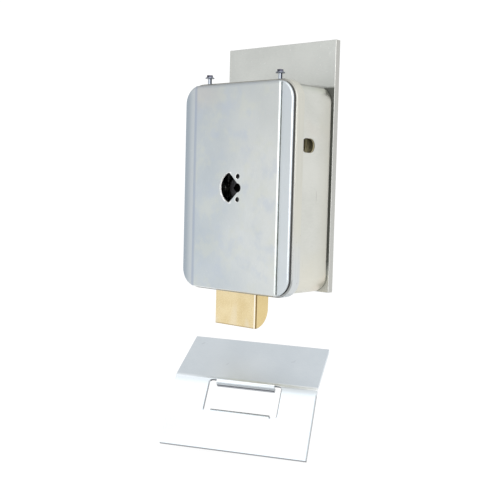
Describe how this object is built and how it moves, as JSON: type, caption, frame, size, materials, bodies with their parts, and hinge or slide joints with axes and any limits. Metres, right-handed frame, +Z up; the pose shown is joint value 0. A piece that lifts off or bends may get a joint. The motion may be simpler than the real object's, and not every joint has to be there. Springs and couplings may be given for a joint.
{
  "type": "electric gate lock",
  "caption": "Box-shaped surface gate lock: a brass drop bolt raised by a solenoid or a key, zinc-plated case with pressed cover on a flat fixing plate, with a bent slotted strike.",
  "frame": {"origin": "on the back face of the fixing plate, at the middle of its width and the middle height of the case", "axes": "+X to the right seen from the front, +Y from the cover to the back of the plate, +Z up, against the drop of the bolt"},
  "size_m": [0.1294, 0.1227, 0.2892],
  "materials": {
    "zinc_plate": "grey zinc plate, satin",
    "zinc_case": "creamy zinc plate, satin",
    "zinc_cover": "bluish zinc plate, satin",
    "zinc_strike": "zinc plate, satin",
    "rubber": "black sealing rubber",
    "screw_steel": "dark plated screw steel",
    "bolt_brass": "fine-milled brass",
    "follower_steel": "blackened steel",
    "bright_steel": "turned bright steel",
    "chassis_steel": "plated sheet steel",
    "spring_steel": "drawn spring steel",
    "bush_brass": "turned brass",
    "bobbin_plastic": "natural nylon",
    "winding": "enamelled copper winding",
    "lead_plastic": "insulated wire",
    "terminal_plastic": "tan moulded plastic"
  },
  "bodies": {
    "root": {"fixing_plate": "zinc_plate", "case": "zinc_case", "lid_frame": "zinc_case", "gasket": "rubber", "cover": "zinc_cover", "cover_studs": "bright_steel", "cover_nuts": "bright_steel", "cover_screws": "screw_steel", "case_screws": "bright_steel", "chassis_plate": "chassis_steel", "chassis_spacers": "bright_steel", "chassis_screws": "bright_steel", "bolt_guide": "chassis_steel", "guide_screws": "bright_steel", "bolt_spring": "spring_steel", "spring_rod": "bright_steel", "follower_bush": "bush_brass", "lever_stud": "bright_steel", "lever_clip": "spring_steel", "solenoid_frame": "chassis_steel", "bobbin": "bobbin_plastic", "coil": "winding", "pole_piece": "bright_steel", "solenoid_screws": "bright_steel", "coil_leads": "lead_plastic", "terminal_base": "terminal_plastic", "terminal_clamps": "bush_brass", "terminal_screws": "bright_steel", "terminal_base_screws": "bright_steel", "strike": "zinc_strike"},
    "bolt": {"bolt": "bolt_brass", "lift_pin": "bright_steel"},
    "follower": {"key_follower": "follower_steel", "follower_clip": "spring_steel"},
    "lever": {"release_lever": "chassis_steel"},
    "plunger": {"plunger": "bright_steel", "plunger_pin": "bright_steel"}
  },
  "joints": [
    {"name": "bolt_slide", "type": "slide", "parent": "root", "child": "bolt", "axis": [0, 0, 1], "range_m": [0, 0.024], "stiffness_N_per_m": 200, "springref_m": -0.04, "deforming": ["bolt_spring"]},
    {"name": "key_turn", "type": "hinge", "parent": "root", "child": "follower", "pos_m": [-0.002, -0.0383, 0], "axis": [0, -1, 0], "range_deg": [0, 82.48]},
    {"name": "lever_swing", "type": "hinge", "parent": "root", "child": "lever", "pos_m": [-0.04, -0.022, 0], "axis": [0, -1, 0], "range_deg": [0, 26.18]},
    {"name": "plunger_slide", "type": "slide", "parent": "root", "child": "plunger", "axis": [0, 0, 1], "range_m": [0, 0.00837]}
  ],
  "couplings": [
    {"joint": "key_turn", "follows": "bolt_slide", "rad_per_m": 59.946},
    {"joint": "lever_swing", "follows": "bolt_slide", "rad_per_m": 19.006},
    {"joint": "plunger_slide", "follows": "bolt_slide", "ratio": 0.34816}
  ]
}
